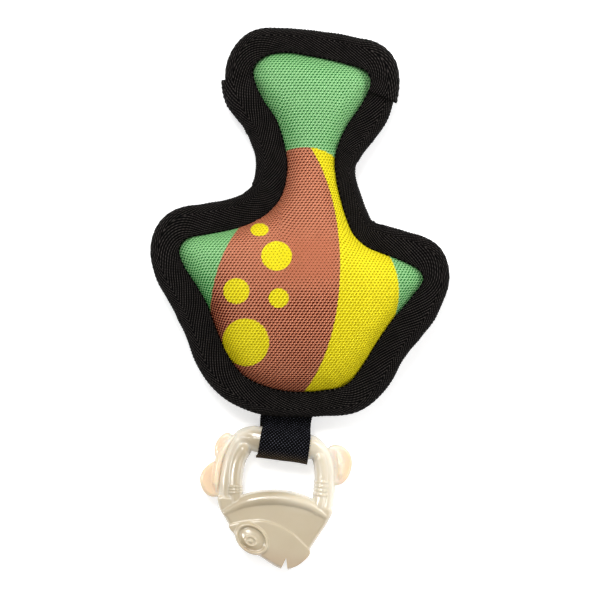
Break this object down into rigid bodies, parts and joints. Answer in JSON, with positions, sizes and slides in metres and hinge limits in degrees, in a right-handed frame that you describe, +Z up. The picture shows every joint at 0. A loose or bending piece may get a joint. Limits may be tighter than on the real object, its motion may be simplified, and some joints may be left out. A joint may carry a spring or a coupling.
{
  "type": "squeaky dog toy",
  "caption": "Stuffed cloth fish for a dog to shake and tug, edge-bound in webbing tape, with a squeaker inside and a hard chew ring hung on a webbing tab.",
  "frame": {"origin": "middle of the toy's footprint, on the table that it lies on", "axes": "+X across the fins to the right as the front is seen, +Y from the head towards the tail, +Z up out of the printed front"},
  "size_m": [0.1468, 0.27, 0.0404],
  "materials": {
    "printed_cloth": "matte",
    "edge_tape": "matte",
    "webbing": "matte",
    "hard_plastic": "gloss",
    "soft_plastic": "satin",
    "fibre": "matte",
    "squeaker_plastic": "satin",
    "reed_plastic": "satin"
  },
  "bodies": {
    "cover": {"front_panel": "printed_cloth", "back_panel": "printed_cloth", "body_binding": "edge_tape", "tail_binding": "edge_tape", "tab_anchor": "webbing", "front_fill": "fibre", "back_fill": "fibre", "squeaker_base": "squeaker_plastic", "squeaker_bellows": "squeaker_plastic", "reed_housing": "reed_plastic", "reed_block": "reed_plastic", "reed": "reed_plastic"},
    "tab": {"tab_loop": "webbing"},
    "ring": {"chew_ring": "hard_plastic", "soft_nub_left": "soft_plastic", "soft_nub_right": "soft_plastic"},
    "squeaker_top": {"squeaker_cap": "squeaker_plastic"}
  },
  "joints": [
    {"name": "tab_fold", "type": "hinge", "parent": "cover", "child": "tab", "pos_m": [-0.00616, -0.06115, 0.00865], "axis": [0.9903, -0.1392, 0], "range_deg": [-50, 80]},
    {"name": "ring_swing", "type": "hinge", "parent": "tab", "child": "ring", "pos_m": [-0.00769, -0.07204, 0.00865], "axis": [0.9903, -0.1392, 0], "range_deg": [-90, 90]},
    {"name": "squeeze", "type": "slide", "parent": "cover", "child": "squeaker_top", "axis": [0, 0, -1], "range_m": [0, 0.008], "stiffness_N_per_m": 1200, "deforming": ["squeaker_bellows"]}
  ]
}
